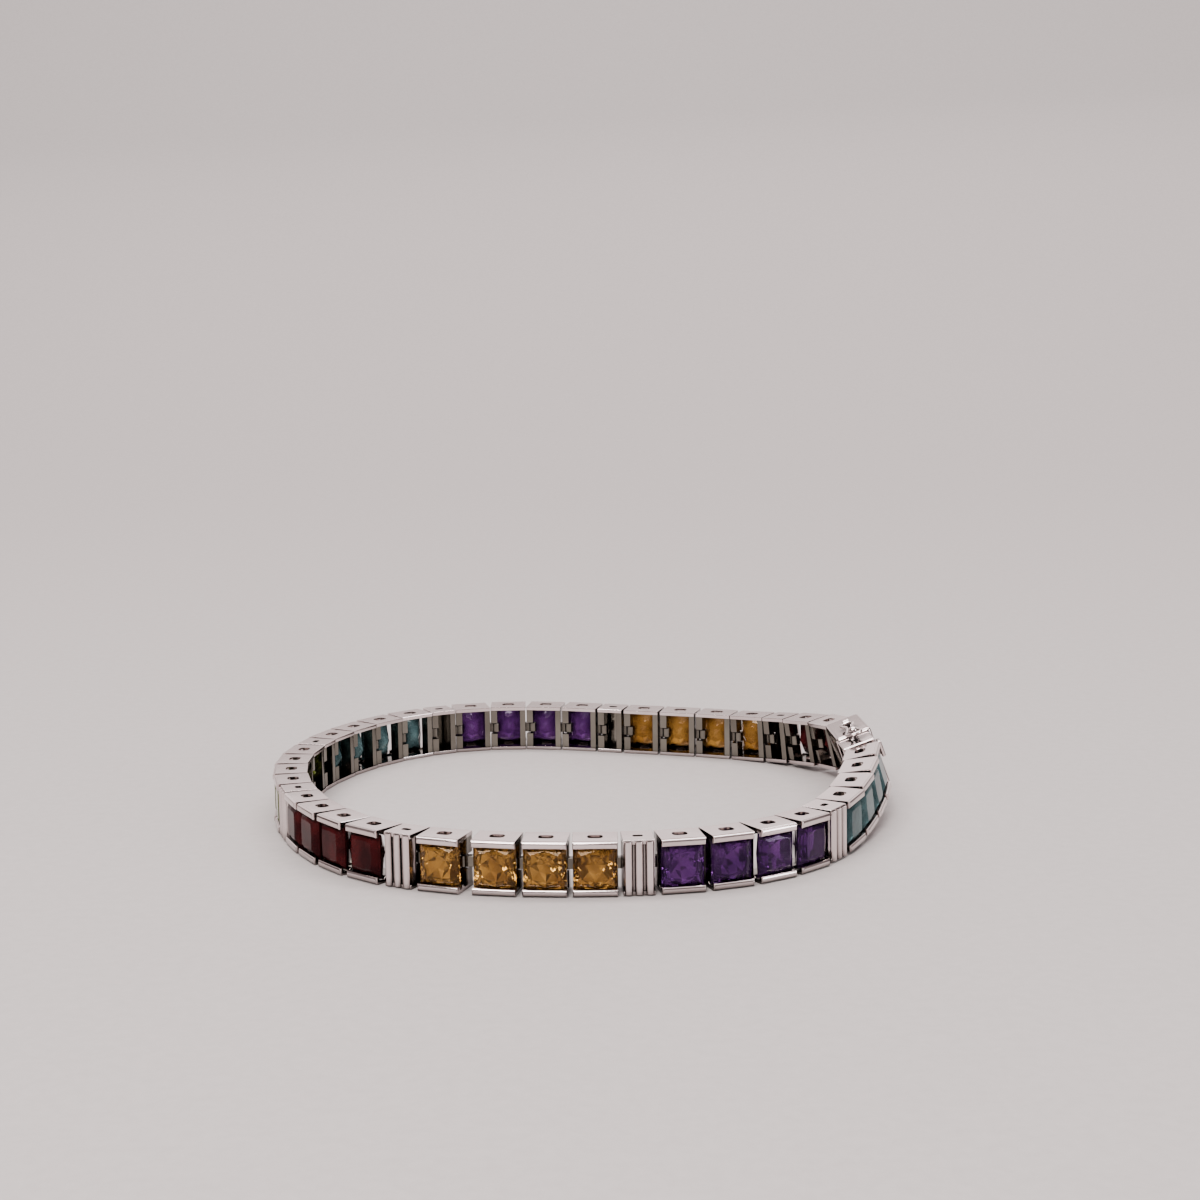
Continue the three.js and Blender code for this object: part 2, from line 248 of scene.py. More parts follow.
def link_list():
    """(kind, run, pitch) for each link in order, clockwise from the clasp."""
    links = []
    for run, (_, count) in enumerate(RUNS):
        for place in range(count):
            pulled = (run, place) == (PULLED_RUN, PULLED_LINK)
            links.append(("stone", run, STONE_PITCH + (PULLED_OPEN if pulled else 0)))
        if run < len(RUNS) - 1:
            links.append(("spacer", run, SPACER_PITCH))
    links.append(("clasp", len(RUNS), BOX_PITCH + END_PITCH))
    return links


# %% Pins on the curve
def swell(angle, span):
    """1 beside the clasp, falling smoothly to 0 at span away from it."""
    turn = angle - LEAN_MIDDLE
    away = math.atan2(math.sin(turn), math.cos(turn)) / span
    return math.cos(away * math.pi / 2) ** 2 if abs(away) < 1 else 0.0


def on_loop(angle, radius):
    wave = sum(c * math.cos(n * angle) + s * math.sin(n * angle) for n, c, s in WAVES)
    reach = radius * (1 + wave)
    return Vector((reach * math.cos(angle), reach * math.sin(angle), HALF + LIFT * swell(angle, LIFT_SPAN)))


def walk(links, radius):
    """The angle of every pin, found by stepping round the curve one link at a time."""
    angles = [START]
    for _, _, pitch in links:
        here = on_loop(angles[-1], radius)
        step = pitch / radius
        for _ in range(TRIES):
            step *= pitch / (on_loop(angles[-1] - step, radius) - here).length
        angles.append(angles[-1] - step)
    return angles


def close_loop(links):
    """Grows or shrinks the curve until the last pin meets the first."""
    radius = sum(pitch for _, _, pitch in links) / (2 * math.pi)
    for _ in range(TRIES):
        radius *= (START - walk(links, radius)[-1]) / (2 * math.pi)
    return radius, walk(links, radius)


def link_frame(here, there, lean):
    """A frame on one pin with its x axis towards the next, leaning about that axis."""
    x = (there - here).normalized()
    y = Vector((0, 0, 1)).cross(x).normalized()
    z = x.cross(y)
    out = y * math.cos(lean) + z * math.sin(lean)
    up = z * math.cos(lean) - y * math.sin(lean)
    made = Matrix((x, out, up)).transposed().to_4x4()
    made.translation = here
    return made


# %% Frames of all the links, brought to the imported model's place
LINKS = link_list()
RADIUS, ANGLES = close_loop(LINKS)
FRAMES = []
for i in range(len(LINKS)):
    here = on_loop(ANGLES[i], RADIUS)
    there = on_loop(ANGLES[(i + 1) % len(LINKS)], RADIUS)
    lean = LEAN * swell((ANGLES[i] + ANGLES[i + 1]) / 2, LEAN_SPAN)
    FRAMES.append(link_frame(here, there, lean))

BOX_RISE = 0.3
CATCH_AT = 4.5
CATCH_REACH = 4.5
CATCH_UP = 0.45
CATCH_LINE = 0.8
CATCH_HINGE = Vector((CATCH_AT, CATCH_LINE, HALF + BOX_RISE + CATCH_UP))
hinge_here = FRAMES[-1] @ CATCH_HINGE
hinge_there = Vector(RECORD["behaviour"]["joints"][0]["pos_m"]) / MM
TO_MODEL = Matrix.Scale(MM, 4) @ Matrix.Translation(hinge_there - hinge_here)
PLACES = [TO_MODEL @ link for link in FRAMES]
print("loop radius %.2f mm, %d links, moved by" % (RADIUS, len(LINKS)), (hinge_there - hinge_here)[:])

# %% [markdown]
# ## Copies
# A finished bench piece is copied once for every link. Each copy has its own mesh and takes its place
# into the mesh itself, so the object stays at the origin and a pattern on Object coordinates doesn't
# slide.

# %% Copies set in the loop
def place_copy(source, name, place):
    clear_bench()
    made = source.copy()
    made.data = source.data.copy()
    made.name = name
    made.data.name = name
    bpy.context.scene.collection.objects.link(made)
    made.data.transform(place)
    return made


def joined(name, pieces):
    only(pieces[0])
    for piece in pieces:
        piece.select_set(True)
    bpy.ops.object.join()
    made = bpy.context.object
    made.name = name
    made.data.name = name
    return made


def finish_piece(obj, body, slot, material, *nodes):
    obj.data.materials.clear()
    obj.data.materials.append(material)
    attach(obj, body)
    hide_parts(*nodes)


# %% [markdown]
# ## White metal
# The links are a polished white metal, rhodium over silver. A mirror finish is never perfect: fine
# polishing lines and slow waves in the surface break up what it reflects. Both are noise on Object
# coordinates, one fine and one slow, one driving the roughness and both the bump. The pink cast of the
# polished colour is painted reflection of pink surroundings that are not in the scene. The posts and hinges
# behind the stones get a dark grey as painted shade: a mark on the faces tells the material which they
# are. Recesses and gaps get painted shade too, found by Ambient Occlusion.

# %% Material helpers
def new_material(name):
    material = bpy.data.materials.new(name)
    material.use_nodes = True
    shader = material.node_tree.nodes["Principled BSDF"]
    place = material.node_tree.nodes.new("ShaderNodeTexCoord")
    return material, shader, place.outputs["Object"]


def noise(material, place, scale, detail=3.0, roughness=0.55):
    made = material.node_tree.nodes.new("ShaderNodeTexNoise")
    made.inputs["Scale"].default_value = scale
    made.inputs["Detail"].default_value = detail
    made.inputs["Roughness"].default_value = roughness
    material.node_tree.links.new(place, made.inputs["Vector"])
    return made.outputs["Fac"]


def ramp(material, value, *stops):
    """Goes from one colour to another between two stops, each (place, colour)."""
    made = material.node_tree.nodes.new("ShaderNodeValToRGB")
    for element, (place, colour) in zip(made.color_ramp.elements, stops):
        element.position = place
        element.color = (*colour, 1)
    material.node_tree.links.new(value, made.inputs["Fac"])
    return made.outputs["Color"]


def spread(material, value, low, high):
    """Maps a 0 to 1 value onto a range."""
    made = material.node_tree.nodes.new("ShaderNodeMapRange")
    made.inputs["To Min"].default_value = low
    made.inputs["To Max"].default_value = high
    material.node_tree.links.new(value, made.inputs["Value"])
    return made.outputs["Result"]


def bump(material, shader, value, strength, distance, under=None):
    made = material.node_tree.nodes.new("ShaderNodeBump")
    made.inputs["Strength"].default_value = strength
    made.inputs["Distance"].default_value = distance
    material.node_tree.links.new(value, made.inputs["Height"])
    if under is not None:
        material.node_tree.links.new(under, made.inputs["Normal"])
    material.node_tree.links.new(made.outputs["Normal"], shader.inputs["Normal"])
    return made.outputs["Normal"]


# %% Recesses, mixes and marks
BLACK = (0, 0, 0)
WHITE = (1, 1, 1)


def shaded_recess(material, reach, dark, light):
    """A mask for painted shade: white on open faces, black in recesses narrower than the reach, between two
    stops.
    """
    made = material.node_tree.nodes.new("ShaderNodeAmbientOcclusion")
    made.samples = 8
    made.inputs["Distance"].default_value = reach
    return ramp(material, made.outputs["AO"], (dark, BLACK), (light, WHITE))


def mixed(material, factor, dark, light):
    """Goes from one colour to another, either of them a socket or a plain colour."""
    made = material.node_tree.nodes.new("ShaderNodeMix")
    made.data_type = "RGBA"
    material.node_tree.links.new(factor, made.inputs["Factor"])
    for socket, value in ((made.inputs[6], dark), (made.inputs[7], light)):
        if isinstance(value, tuple):
            socket.default_value = (*value, 1)
        else:
            material.node_tree.links.new(value, socket)
    return made.outputs[2]


def own_mark(material, name):
    made = material.node_tree.nodes.new("ShaderNodeAttribute")
    made.attribute_name = name
    return made.outputs["Fac"]


# %% White metal
# The metal's own tone, with a pink cast that is painted reflection of pink surroundings.
POLISH_AND_PINK_REFLECTION_DEEP = (0.65, 0.56, 0.55)
POLISH_AND_PINK_REFLECTION_PALE = (0.74, 0.655, 0.645)
# Painted shade: the dark grey of the faces between the walls and behind the stones.
INNER_SHADE_DEEP = (0.14, 0.13, 0.11)
INNER_SHADE_PALE = (0.20, 0.185, 0.16)
# Painted shade: the colour the metal takes in recesses and gaps.
PAINTED_RECESS_SHADE = (0.035, 0.03, 0.026)
METAL_REACH = 0.001
WAVE_SCALE = 260
LINE_SCALE = 5200


def white_metal(name, smooth, dull):
    """A metal whose roughness runs from smooth to dull along its polishing lines."""
    material, shader, place = new_material(name)
    shader.inputs["Metallic"].default_value = 1.0
    slow = noise(material, place, WAVE_SCALE, detail=2)
    fine = noise(material, place, LINE_SCALE, detail=4)
    # Polished colour, its pink cast a painted reflection.
    polished = ramp(material, slow, (0.3, POLISH_AND_PINK_REFLECTION_DEEP), (0.7, POLISH_AND_PINK_REFLECTION_PALE))
    # Painted shade on the marked inner faces.
    inner_shade_colour = ramp(material, slow, (0.3, INNER_SHADE_DEEP), (0.7, INNER_SHADE_PALE))
    metal_with_inner_shade = mixed(material, own_mark(material, "painted_inner_shade"), polished, inner_shade_colour)
    # Painted shade in recesses and gaps, found by Ambient Occlusion.
    shade_mask = shaded_recess(material, METAL_REACH, 0.35, 0.92)
    colour = mixed(material, shade_mask, PAINTED_RECESS_SHADE, metal_with_inner_shade)
    material.node_tree.links.new(colour, shader.inputs["Base Color"])
    rough = spread(material, fine, smooth, dull)
    material.node_tree.links.new(rough, shader.inputs["Roughness"])
    waves = bump(material, shader, slow, strength=0.05, distance=0.00012)
    bump(material, shader, fine, strength=0.012, distance=0.00002, under=waves)
    return material


METAL = white_metal("white_metal", 0.11, 0.15)
BRIGHT_METAL = white_metal("bright_metal", 0.06, 0.09)
print("metals:", METAL.name, "and", BRIGHT_METAL.name)

# %% [markdown]
# ## Stones
# Each stone is clear and coloured through, so it is a glassy shader whose whole light passes the facets.
# The colour is told apart by zones: real stones have bands where it is deeper, so a slow noise moves it
# between two shades. The index of refraction decides how strongly the facets flash, and each colour has
# its own, chosen so that the pale floor doesn't turn the tables grey. Little light gets into the
# gaps between two stones, so their sides are darkened there.

# %% Stone materials
STONES = {
    # paler and deeper shade, index of refraction, share of the light that passes
    "garnet": ((0.060, 0.008, 0.009), (0.020, 0.003, 0.004), 1.36, 0.30),
    "citrine": ((0.44, 0.23, 0.046), (0.18, 0.078, 0.013), 1.54, 0.92),
    "amethyst": ((0.13, 0.04, 0.20), (0.045, 0.011, 0.085), 1.50, 0.85),
    "topaz": ((0.13, 0.225, 0.235), (0.05, 0.105, 0.115), 1.44, 0.55),
    "peridot": ((0.36, 0.44, 0.08), (0.18, 0.25, 0.03), 1.55, 0.85),
}


ZONE_SCALE = 420
# STONE_REACH and SHADOW set the painted shade in the gaps and behind the stones.
STONE_REACH = 0.0012
SHADOW = 0.12
TINT_LEAST = 0.22
TINT_SHARE = 0.6


def stone_material(name):
    """A clear stone in two shades, with its gloss tinted by its own colour."""
    pale, deep, index, clear = STONES[name]
    material, shader, place = new_material(name)
    shader.inputs["Transmission Weight"].default_value = clear
    shader.inputs["Specular IOR Level"].default_value = 0.1
    shader.inputs["IOR"].default_value = index
    shader.inputs["Roughness"].default_value = 0.015
    tint = [TINT_LEAST + TINT_SHARE * value for value in pale]
    shader.inputs["Specular Tint"].default_value = (*tint, 1)
    zones = noise(material, place, ZONE_SCALE, detail=2)
    depth = ramp(material, zones, (0.35, deep), (0.65, pale))
    # Painted shade: the colour darkens in the gaps between stones and on the pavilion between the walls.
    shade_mask = shaded_recess(material, STONE_REACH, 0.3, 0.9)
    shadow = tuple(value * SHADOW for value in deep)
    colour = mixed(material, shade_mask, shadow, depth)
    material.node_tree.links.new(colour, shader.inputs["Base Color"])
    return material


GEMS = {name: stone_material(name) for name in STONES}
print("stones:", ", ".join(GEMS))

# %% [markdown]
# ## A cut stone
# A square stone has a girdle, a crown that narrows to the flat table, and a deep pavilion that narrows to
# a point. A cutter works in rows of facets, and so does this: the outline is a ring of eight points,
# corners and middles of the sides, extruded row by row. In each row the middles stand out a little past
# the straight line between the corners. That parts every side into two tilted facets, and those are what
# cross the stone with an X of light and dark when it is looked into.

# %% The stone's sizes
STONE_GAP = 0.11
STONE_INSET = 0.07
GIRDLE = 1.58
GIRDLE_TALL = 0.14
PAVILION = 2.08
CROWN = 0.54
STONE_HALF_X = (STONE_PITCH - PLAY) / 2 - STONE_INSET
STONE_HALF_Z = HALF - WALL - STONE_GAP
STONE_MIDDLE = (STONE_PITCH - 2 * REAR - PLAY) / 2
FACET_ROWS = [
    # corner's share and middle's share of the half width, distance out from the hinge line
    (0.03, 0.04, GIRDLE - PAVILION),
    (0.30, 0.42, GIRDLE - PAVILION * 0.74),
    (0.62, 0.74, GIRDLE - PAVILION * 0.42),
    (0.86, 0.93, GIRDLE - PAVILION * 0.17),
    (1.00, 1.00, GIRDLE),
    (1.00, 1.00, GIRDLE + GIRDLE_TALL),
    (0.88, 0.93, GIRDLE + GIRDLE_TALL + CROWN * 0.36),
    (0.74, 0.82, GIRDLE + GIRDLE_TALL + CROWN * 0.72),
    (0.62, 0.66, GIRDLE + GIRDLE_TALL + CROWN),
]


def facet_ring(corner, middle, y):
    """Eight points round the stone, starting at a corner and going round by halves of a side."""
    points = []
    for i in range(8):
        share = middle if i % 2 else corner
        turn = (i * 45 + 45) * DEGREE
        across = [math.copysign(1, v) if abs(v) > 0.5 else 0 for v in (math.cos(turn), math.sin(turn))]
        points.append((STONE_MIDDLE + share * STONE_HALF_X * across[0], y, share * STONE_HALF_Z * across[1]))
    return points


# %% Cut one stone
def cut_stone():
    """Extrudes the ring row by row from the point of the pavilion to the table."""
    clear_bench()
    bpy.ops.mesh.primitive_circle_add(vertices=8, radius=1, fill_type="NGON")
    stone = bpy.context.object
    stone.name = "bench_stone"
    for vertex, point in zip(stone.data.vertices, facet_ring(*FACET_ROWS[0])):
        vertex.co = point
    for corner, middle, y in FACET_ROWS[1:]:
        bpy.ops.object.mode_set(mode="EDIT")
        if len(stone.data.vertices) == 8:
            bpy.ops.mesh.select_all(action="SELECT")
        bpy.ops.mesh.extrude_region_move()
        bpy.ops.object.mode_set(mode="OBJECT")
        raised = [vertex for vertex in stone.data.vertices if vertex.select]
        for vertex, point in zip(raised, facet_ring(corner, middle, y)):
            vertex.co = point
    bpy.ops.object.mode_set(mode="EDIT")
    bpy.ops.mesh.select_all(action="SELECT")
    bpy.ops.mesh.quads_convert_to_tris(quad_method="SHORTEST_DIAGONAL")
    bpy.ops.mesh.normals_make_consistent(inside=False)
    bpy.ops.object.mode_set(mode="OBJECT")
    bpy.ops.object.shade_flat()
    return stone


bench_stone = cut_stone()
print("a cut stone has", len(bench_stone.data.polygons), "faces")

# %% [markdown]
# ## Hinges
# Each link carries an upright pin in a slot at its near end, and an eye on a short bar at its far end.
# The eye goes round the next link's pin. Both are made once and soldered to every kind of link.

# %% Hinge parts
TOUCH = 0.01  # places closer than this count as the same
PIN = 0.2
EYE_HOLE = 0.3
EYE = 0.5
EYE_TALL = 1.0
EYE_WIDE = 0.7
EYE_ROOM = 0.13
SLOT_TALL = EYE_TALL + 2 * EYE_ROOM
SLOT_DEEP = EYE + EYE_ROOM
SET_BACK = 0.12


def hinge_eye(pitch, end):
    """A bar from the far post out to the next pin, with a bored eye at its tip."""
    half = EYE_TALL / 2
    wide = EYE_WIDE / 2
    bar = block((end - FAR_POST / 2, -wide, -half), (pitch, wide, half), soft=SOFT)
    eye = solder(bar, soften(rod((pitch, 0, -half), (pitch, 0, half), EYE, sides=24)))
    return cut(eye, rod((pitch, 0, -PAST), (pitch, 0, PAST), EYE_HOLE, sides=16))


def hinge_posts(end):
    """The two posts at the back of a link, the near one slotted, with the pin across the slot."""
    top = HALF - WALL / 2
    near = block((-REAR, INNER + SET_BACK, -top), (POST - REAR, POST_OUT, top), soft=SOFT)
    low = (-REAR - PAST, INNER - PAST, -SLOT_TALL / 2)
    high = (SLOT_DEEP, POST_OUT + PAST, SLOT_TALL / 2)
    near = cut(near, block(low, high))
    pin = rod((0, 0, -top), (0, 0, top), PIN, sides=14)
    far = block((end - FAR_POST, INNER + SET_BACK, -top), (end, POST_OUT, top), soft=SOFT)
    return solder(near, pin), far


def mark_inner_shade(link, front):
    """Marks the faces between the walls and behind the front, which take a dark grey as painted shade."""
    # The mark says where the painted shade goes.
    mark = link.data.attributes.new("painted_inner_shade", "FLOAT", "FACE")
    inside = HALF - WALL + TOUCH
    for face, value in zip(link.data.polygons, mark.data):
        value.value = 1.0 if abs(face.center.z) < inside and face.center.y < front else 0.0
    return link


# %% [markdown]
# ## A stone link
# A channel link is a top and a bottom wall with a rounded rail along each outer edge. The rails lap the
# stone's edge and hold it. Both walls are drawn from their section, as a jeweller draws channel wire, and
# the rail is a soft bar soldered on, so that its ends round off as they do in the photograph. A gallery
# hole through each wall lets light in behind the stone.

# %% Walls and rails
SEAT = GIRDLE - 0.38
SEAT_SLOPE = 0.35
SEAT_EDGE = 0.05
SEAT_LEDGE = 0.2
RAIL_LAP = 0.25
RAIL_DROP = 0.03
RAIL_UNDER = GIRDLE + GIRDLE_TALL + 0.28
RAIL_ROUND = 0.27


def link_wall(start, end, side):
    """One wall drawn from its section in (y, z); side is 1 for the upper wall and -1 for the lower."""
    inside = HALF - WALL
    front = OUTER - RAIL_LAP
    section = [(INNER, HALF), (INNER, inside), (SEAT - SEAT_SLOPE, inside)]
    section += [(SEAT, HALF - LIP + SEAT_EDGE), (SEAT + SEAT_LEDGE, inside)]
    section += [(front, inside), (front, HALF)]
    return soften(drawn([(start, y, side * z) for y, z in section], (end - start, 0, 0)))


def rail(start, end, side):
    """The rounded bar along the outer edge of a wall."""
    low, high = sorted((side * (HALF - LIP), side * (HALF - RAIL_DROP)))
    bar = block((start, RAIL_UNDER, low), (end, OUTER, high))
    pick_edges(bar, lambda a, b: min(a.y, b.y) > OUTER - TOUCH)
    bpy.ops.mesh.bevel(offset=RAIL_ROUND, segments=6, profile=0.55, affect="EDGES")
    bpy.ops.object.mode_set(mode="OBJECT")
    return bar


# %% Gallery holes
HOLE_AT = 0.62
HOLE_ROUND = 0.75  # share of the smaller half width
STONE_HOLE = (0.68, 0.56)
SPACER_HOLE = (0.46, 0.30)
PEG_IN = 0.15
PEG_OUT = 0.4


def gallery_cutter(middle, hole, side):
    """A square peg with well rounded corners, through one wall. A hole is its two half widths."""
    along, deep = hole
    low, high = sorted((side * (HALF - WALL - PEG_IN), side * (HALF + PEG_OUT)))
    peg = block((middle - along, HOLE_AT - deep, low), (middle + along, HOLE_AT + deep, high))
    pick_edges(peg, lambda a, b: abs(a.z - b.z) > TOUCH)
    bpy.ops.mesh.bevel(offset=HOLE_ROUND * min(hole), segments=5, affect="EDGES")
    bpy.ops.object.mode_set(mode="OBJECT")
    return peg


def cut_gallery(link, end, hole):
    middle = (end - REAR) / 2
    return cut(link, gallery_cutter(middle, hole, 1), gallery_cutter(middle, hole, -1))


# %% Build the stone link, once with a plain eye bar and once with a longer one
def stone_link(pitch, name):
    link = solder(link_wall(-REAR, LINK_END, 1), link_wall(-REAR, LINK_END, -1))
    link = solder(link, rail(-REAR, LINK_END, 1), rail(-REAR, LINK_END, -1))
    link = cut_gallery(link, LINK_END, STONE_HOLE)
    near, far = hinge_posts(LINK_END)
    link = solder(link, near, far, hinge_eye(pitch, LINK_END))
    link.name = name
    return mark_inner_shade(polish(link), SEAT)


bench_link = stone_link(STONE_PITCH, "bench_link")
bench_pulled = stone_link(STONE_PITCH + PULLED_OPEN, "bench_pulled")
print("a stone link has", len(bench_link.data.polygons), "faces")

# %% [markdown]
# ## A ribbed spacer
# Between the runs of colour sits a short link with three upright ridges. Seen from above its front edge
# is three arcs side by side, so the ridged plate is that outline drawn upwards. A flat cap closes the
# ridges at the top and at the bottom, and the back is the same open box as a stone link's.

# %% Build the spacer
RIDGES = 3
PLATE = 1.15
PLATE_EDGE = 0.1
RIDGE_FOOT = 1.94
RIDGE = 0.42
GROOVE = 0.16
CAP = 0.26
CAP_OUT = RIDGE_FOOT + 0.16
SQUARE_END = 0.2  # the plate's ends stay square up to here under the ridges


def ridge_outline(start, end):
    """The plate from above, in (x, y), with one arc for each ridge."""
    points = [(start, PLATE), (end, PLATE), (end, RIDGE_FOOT - SQUARE_END)]
    wide = (end - start) / RIDGES
    for ridge in reversed(range(RIDGES)):
        middle = start + wide * (ridge + 0.5)
        points += arc((middle, RIDGE_FOOT), (wide / 2 - GROOVE / 2, RIDGE), 0, 180, 14)
    return points + [(start, RIDGE_FOOT - SQUARE_END)]


def spacer_link():
    outline = ridge_outline(-REAR, SPACER_END)
    ridges = soften(drawn([(x, y, -HALF + CAP / 2) for x, y in outline], (0, 0, HEIGHT - CAP)))
    upper = block((-REAR, INNER, HALF - WALL), (SPACER_END, CAP_OUT, HALF), soft=SOFT)
    lower = block((-REAR, INNER, -HALF), (SPACER_END, CAP_OUT, -HALF + WALL), soft=SOFT)
    walls = cut_gallery(solder(upper, lower), SPACER_END, SPACER_HOLE)
    near, far = hinge_posts(SPACER_END)
    link = solder(ridges, walls, near, far, hinge_eye(SPACER_PITCH, SPACER_END))
    link.name = "bench_spacer"
    return mark_inner_shade(polish(link), PLATE + PLATE_EDGE)


bench_spacer = spacer_link()
print("a spacer has", len(bench_spacer.data.polygons), "faces")

# %% [markdown]
# ## Set the links and stones round the loop
# The four links of a run are placed and joined into one piece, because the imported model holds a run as
# one node. Stones stay separate, one piece for one stone.

# %% Set the runs, spacers and stones
counts = {name: 0 for name in STONES}
spacers = 0
run_pieces = [[] for _ in RUNS]
for (kind, run, pitch), place in zip(LINKS, PLACES):
    if kind == "stone":
        colour = RUNS[run][0]
        counts[colour] += 1
        link = bench_pulled if pitch > STONE_PITCH else bench_link
        run_pieces[run].append(place_copy(link, "link", place))
        node = "%s_%02d" % (colour, counts[colour])
        stone = place_copy(bench_stone, "cut_" + node, place)
        finish_piece(stone, BODY, colour, GEMS[colour], node)
    elif kind == "spacer":
        spacers += 1
        piece = place_copy(bench_spacer, "ridged_spacer_%d" % spacers, place)
        finish_piece(piece, BODY, "white_metal", METAL, "ribbed_spacer_%d" % spacers)
for run, pieces in enumerate(run_pieces):
    colour = RUNS[run][0]
    piece = joined("channel_run_%d_%s" % (run + 1, colour), pieces)
    finish_piece(piece, BODY, "white_metal", METAL, "setting_run_%d_%s" % (run + 1, colour))
print("stones set:", counts, "spacers:", spacers)

# %% [markdown]
# ## The clasp
# A box clasp is a hollow box with a gate in its outer face. A folded spring tongue on the other end
# slides in and snaps, and is let go by pressing the thumb tab that stands out of the gate. The box is a
# soft edged block, hollowed and slotted by cutters.

# %% Clasp sizes
CLASP_REAR = 0.3
CLASP_PLAY = 0.65
BOX_OUT = 2.75
SHELL = 0.45
BOX_END = BOX_PITCH - REAR - PLAY
RISE = HALF + BOX_RISE
LUG = 0.5
LUG_THICK = 0.6
WIRE = 0.17
BORE = WIRE + 0.12
BALL = 0.45
THUMB = 0.4  # a quarter of the notch's height
BOX_ROUND = 0.42
GATE = 2.2
GATE_DEEP = 1.5
ENGRAVED_AT = (0.55, 0.95)
LINE_HALF = 0.05
LINE_DEEP = 0.07
SLOT_OUT = 0.1
SINK = 0.1  # what stands on the clasp starts this far inside it
CLASP_PLACE = PLACES[-1]


# %% The box
def catch_lug():
    """A plate with a round top, bored for the wire."""
    near = CATCH_LINE - LUG_THICK / 2
    axis = RISE + CATCH_UP
    outline = [(CATCH_AT - LUG, RISE - SINK), (CATCH_AT + LUG, RISE - SINK)]
    outline += arc((CATCH_AT, axis), LUG, 0, 180, 24)
    plate = soften(drawn([(x, near, z) for x, z in outline], (0, LUG_THICK, 0)))
    bore = rod((CATCH_AT, near - PAST, axis), (CATCH_AT, near + 2 * PAST, axis), BORE, sides=24)
    return cut(plate, bore)


def box_cutters():
    """The hollow, the hinge slot, the gate for the thumb tab and the engraved lines."""
    inside = RISE - SHELL
    past = BOX_OUT + PAST
    cutters = [
        block((SLOT_DEEP + SHELL, INNER + SHELL, -inside), (BOX_END + PAST, BOX_OUT - SHELL, inside)),
        block((-2 * PAST, INNER - PAST, -SLOT_TALL / 2), (SLOT_DEEP, POST_OUT + SLOT_OUT, SLOT_TALL / 2)),
        block((BOX_END - GATE, BOX_OUT - GATE_DEEP, -2 * THUMB), (BOX_END + PAST, past, 2 * THUMB)),
    ]
    for x in ENGRAVED_AT:
        low = (x - LINE_HALF, BOX_OUT - LINE_DEEP, -RISE - PAST)
        cutters.append(block(low, (x + LINE_HALF, past, RISE + PAST)))
    return cutters


def clasp_box():
    body = block((-CLASP_REAR, INNER, -RISE), (BOX_END, BOX_OUT, RISE), soft=BOX_ROUND, steps=6)
    body = cut(body, *box_cutters())
    pin = rod((0, 0, -RISE + SHELL / 2), (0, 0, RISE - SHELL / 2), PIN, sides=14)
    body = solder(body, pin, catch_lug())
    body.name = "bench_box"
    return polish(body)


bench_box = clasp_box()
piece = place_copy(bench_box, "box_clasp", CLASP_PLACE)
finish_piece(piece, BODY, "white_metal", BRIGHT_METAL, "clasp_box")
print("the box has", len(piece.data.polygons), "faces")

# %% [markdown]
# The end piece holds the tongue, the thumb tab and the ball knob that the safety catch goes over. The
# tongue is a strip folded back on itself. Its lower leaf is straight and its upper leaf springs out by a
# few degrees.

# %% The tongue
END_START = BOX_PITCH - REAR
TONGUE_WIDE = HALF - 1
TONGUE_LONG = 5.0
TONGUE_ROOT = 0.1
TONGUE_BACK = -0.15
TONGUE_FRONT = 0.2
LEAF_LONG = 4.4
LEAF_THICK = 0.3
LEAF_AT = -0.1
LEAF_SPRUNG = 11 * DEGREE


def tongue():
    tip = END_START - TONGUE_LONG
    low = (tip, TONGUE_BACK, -TONGUE_WIDE)
    straight = block(low, (END_START + TONGUE_ROOT, TONGUE_FRONT, TONGUE_WIDE))
    sprung = block((0, 0, -TONGUE_WIDE), (LEAF_LONG, LEAF_THICK, TONGUE_WIDE))
    turned = Matrix.Rotation(LEAF_SPRUNG, 4, "Z")
    sprung.data.transform(Matrix.Translation((tip, LEAF_AT, 0)) @ turned)
    return straight, sprung


# %% The thumb tab
STALK = (1.75, 1.35)
STALK_FOOT = 0.75
STALK_TOP = 0.4
PAD = (2.2, 0.9)
PAD_UNDER = 0.2
PAD_TOP = 0.6
PAD_ROUND = 0.14
GRIPS = 3
GRIP_FROM = 1.85
GRIP_STEP = 0.3
GRIP_FLOOR = 0.52


def thumb_tab():
    """A stalk and a pad with grip lines. Each pair is how far back from the end piece it starts and ends."""
    high, wide = 1.5 * THUMB, 2.2 * THUMB
    low = (END_START - STALK[0], STALK_FOOT, -high)
    stalk = block(low, (END_START - STALK[1], BOX_OUT + STALK_TOP, high))
    low = (END_START - PAD[0], BOX_OUT + PAD_UNDER, -wide)
    pad = block(low, (END_START - PAD[1], BOX_OUT + PAD_TOP, wide), soft=PAD_ROUND, steps=4)
    for i in range(GRIPS):
        x = END_START - GRIP_FROM + GRIP_STEP * i
        low = (x - LINE_HALF, BOX_OUT + GRIP_FLOOR, -2 * PAST)
        pad = cut(pad, block(low, (x + LINE_HALF, BOX_OUT + PAST, 2 * PAST)))
    return stalk, pad


# %% The end piece
END_ROUND = 0.2


def clasp_end():
    pitch = BOX_PITCH + END_PITCH
    end = pitch - REAR - CLASP_PLAY
    body = block((END_START, INNER, -HALF), (end, OUTER, HALF), soft=END_ROUND, steps=4)
    window = block((END_START + POST, INNER - PAST, -HALF + WALL), (end - POST, PLATE, HALF - WALL))
    body = cut(body, window)
    body = solder(body, *tongue(), *thumb_tab(), hinge_eye(pitch, end))
    body.name = "bench_end"
    return polish(body)


# %% The ball knob
KNOB = CATCH_AT + CATCH_REACH
BALL_UP = 0.2
STEM = 0.2
FOOT = 0.34
FOOT_TALL = 0.09


